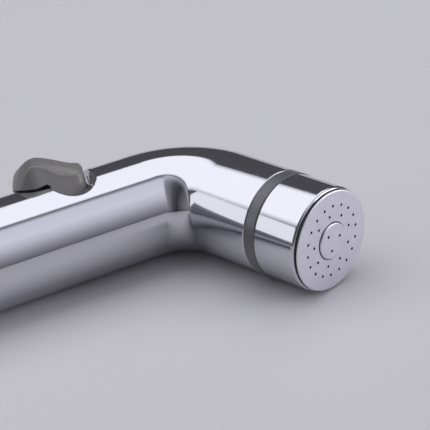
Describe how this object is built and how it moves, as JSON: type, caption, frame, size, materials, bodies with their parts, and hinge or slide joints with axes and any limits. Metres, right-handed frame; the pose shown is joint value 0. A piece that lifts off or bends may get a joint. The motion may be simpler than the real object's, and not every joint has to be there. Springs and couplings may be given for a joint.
{
  "type": "handheld bath sprayer",
  "caption": "Chrome plated hand spray with a straight round grip, a bent neck, a multi-jet spray face, a sprung thumb trigger over a round scoop, and a male hose thread.",
  "frame": {"origin": "under the middle of the box around the whole part, at the height of the surface that it lies on", "axes": "+X along the grip from the hose end to the bend, +Z square to the plane of the bend, the head turned towards -Y"},
  "size_m": [0.1618, 0.061, 0.0313],
  "materials": {
    "chrome_plate": "mirror chrome plating on moulded plastic",
    "connector_chrome": "mirror chrome plating on brass",
    "grey_plastic": "matte moulded grey plastic",
    "satin_steel": "satin stainless plate",
    "white_plastic": "natural moulded acetal",
    "tube_plastic": "smooth extruded tube",
    "seal_rubber": "black rubber",
    "brass": "turned brass",
    "stainless": "drawn stainless"
  },
  "bodies": {
    "body": {"body_shell": "chrome_plate", "neck_ring": "grey_plastic", "head_cap": "chrome_plate", "face_plate": "satin_steel", "centre_disc": "satin_steel", "plate_gasket": "seal_rubber", "spray_core": "white_plastic", "core_o_ring": "seal_rubber", "valve_block": "white_plastic", "gland_nut": "brass", "spindle_o_ring": "seal_rubber", "valve_spring": "stainless", "valve_plug": "brass", "plug_o_ring": "seal_rubber", "inlet_tube": "tube_plastic", "outlet_tube": "tube_plastic", "inlet_ring_connector": "seal_rubber", "inlet_ring_block": "seal_rubber", "outlet_ring_block": "seal_rubber", "outlet_ring_core": "seal_rubber", "inlet_connector": "connector_chrome", "connector_o_ring": "seal_rubber", "flow_limiter": "white_plastic", "inlet_filter": "stainless"},
    "trigger_lever": {"trigger": "grey_plastic", "trigger_pin": "stainless"},
    "spindle": {"valve_spindle": "brass", "valve_washer": "seal_rubber"}
  },
  "joints": [
    {"name": "trigger_hinge", "type": "hinge", "parent": "body", "child": "trigger_lever", "pos_m": [0.01488, 0.02099, 0.02019], "axis": [0, 0.8988, -0.4384], "range_deg": [0, 7], "stiffness_Nm_per_rad": 0.4, "springref_deg": -5.73},
    {"name": "spindle_slide", "type": "slide", "parent": "body", "child": "spindle", "axis": [0, -0.4384, -0.8988], "range_m": [0, 0.0014], "deforming": ["valve_spring"]}
  ],
  "couplings": [
    {"joint": "spindle_slide", "follows": "trigger_hinge", "m_per_rad": 0.0107}
  ]
}
